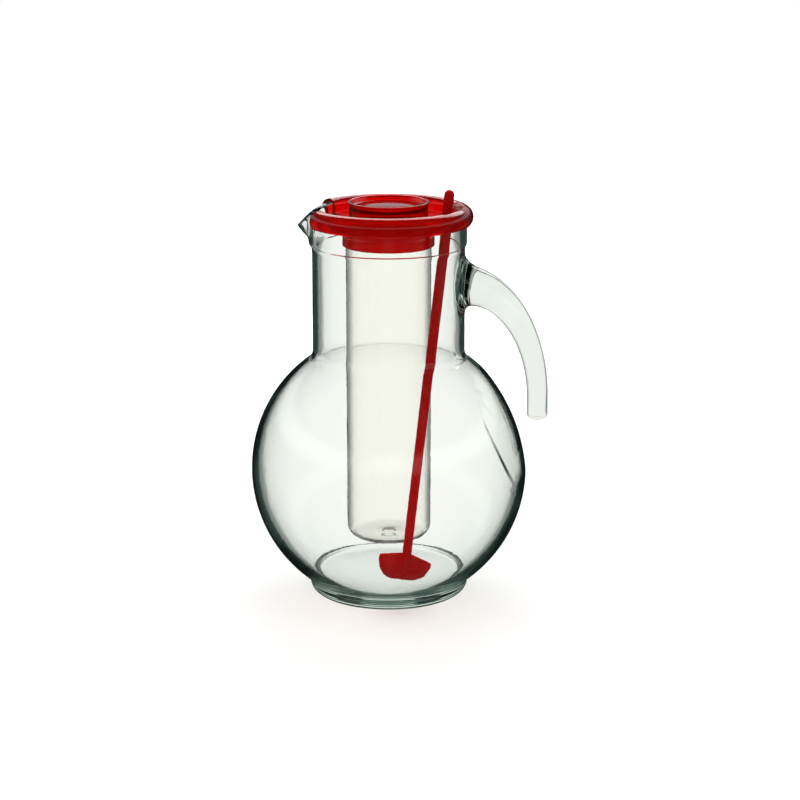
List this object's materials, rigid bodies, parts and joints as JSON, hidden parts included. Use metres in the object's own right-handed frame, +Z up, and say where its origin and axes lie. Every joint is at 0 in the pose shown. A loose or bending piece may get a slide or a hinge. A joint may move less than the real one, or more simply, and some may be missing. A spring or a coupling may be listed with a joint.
{
  "type": "pitcher with ice core",
  "caption": "Clear glass ball-shaped jug with drop handle and pinched lip, with a translucent red lid that carries a hanging clear ice tube and a leaning red stirrer.",
  "frame": {"origin": "on the jug's axis, in the plane of the foot ring that it stands on", "axes": "+Z up along the jug's axis, +X towards the handle, -X towards the pouring lip, +Y completes the right-handed frame"},
  "size_m": [0.1778, 0.165, 0.246],
  "materials": {
    "clear_glass": "clear pressed glass with a faint green-grey edge",
    "red_lid": "glossy translucent red plastic",
    "clear_tube": "glossy clear plastic with a faint warm tint",
    "red_stirrer": "glossy dark red plastic"
  },
  "bodies": {
    "jug": {"glass_jug": "clear_glass"},
    "lid": {"lid": "red_lid"},
    "tube": {"ice_tube": "clear_tube"},
    "stirrer": {"stirrer": "red_stirrer"}
  },
  "joints": [
    {"name": "lid_lift", "type": "slide", "parent": "jug", "child": "lid", "axis": [0, 0, 1], "range_m": [0, 0.235]},
    {"name": "tube_pull", "type": "slide", "parent": "lid", "child": "tube", "axis": [0, 0, -1], "range_m": [0, 0.014]},
    {"name": "stirrer_plunge", "type": "slide", "parent": "lid", "child": "stirrer", "axis": [0.1037, 0.1067, 0.9889], "range_m": [0, 0.042]}
  ]
}
